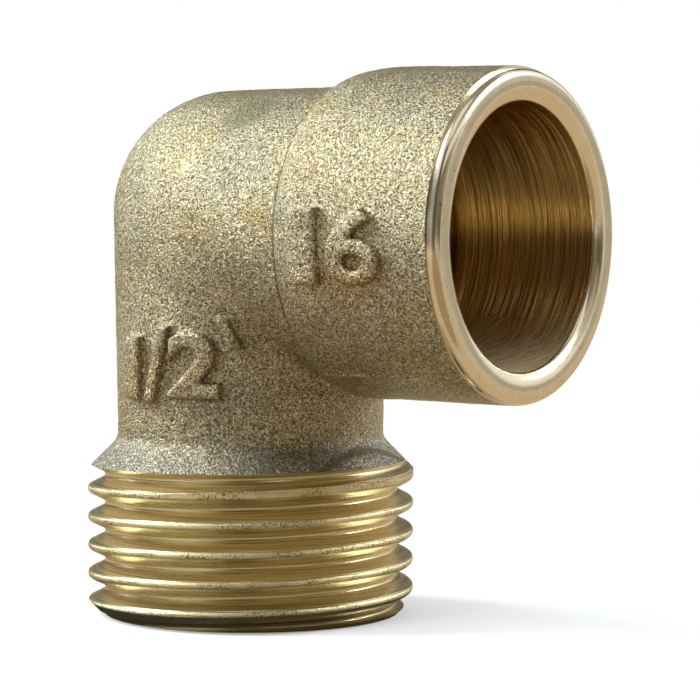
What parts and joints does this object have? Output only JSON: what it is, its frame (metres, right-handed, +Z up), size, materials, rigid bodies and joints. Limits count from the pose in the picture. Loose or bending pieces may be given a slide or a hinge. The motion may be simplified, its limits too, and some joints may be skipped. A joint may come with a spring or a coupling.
{
  "type": "pipe elbow",
  "caption": "Cast brass right-angle elbow with a male parallel pipe thread at one end and a solder socket for copper tube at the other.",
  "frame": {"origin": "on the thread's axis at the thread's end face", "axes": "+Z up the thread's axis into the fitting, +X along the socket's axis out of its mouth"},
  "size_m": [0.0316, 0.021, 0.0343],
  "materials": {
    "thread_brass": "cut thread, golden and slightly torn at the crests",
    "cast_brass": "sand cast, fine sparkling grain, dull",
    "turned_brass": "turned rim and bore, satin, in a cast skin"
  },
  "bodies": {
    "root": {"threaded_end": "thread_brass", "elbow_body": "cast_brass", "solder_socket": "turned_brass"}
  },
  "joints": []
}
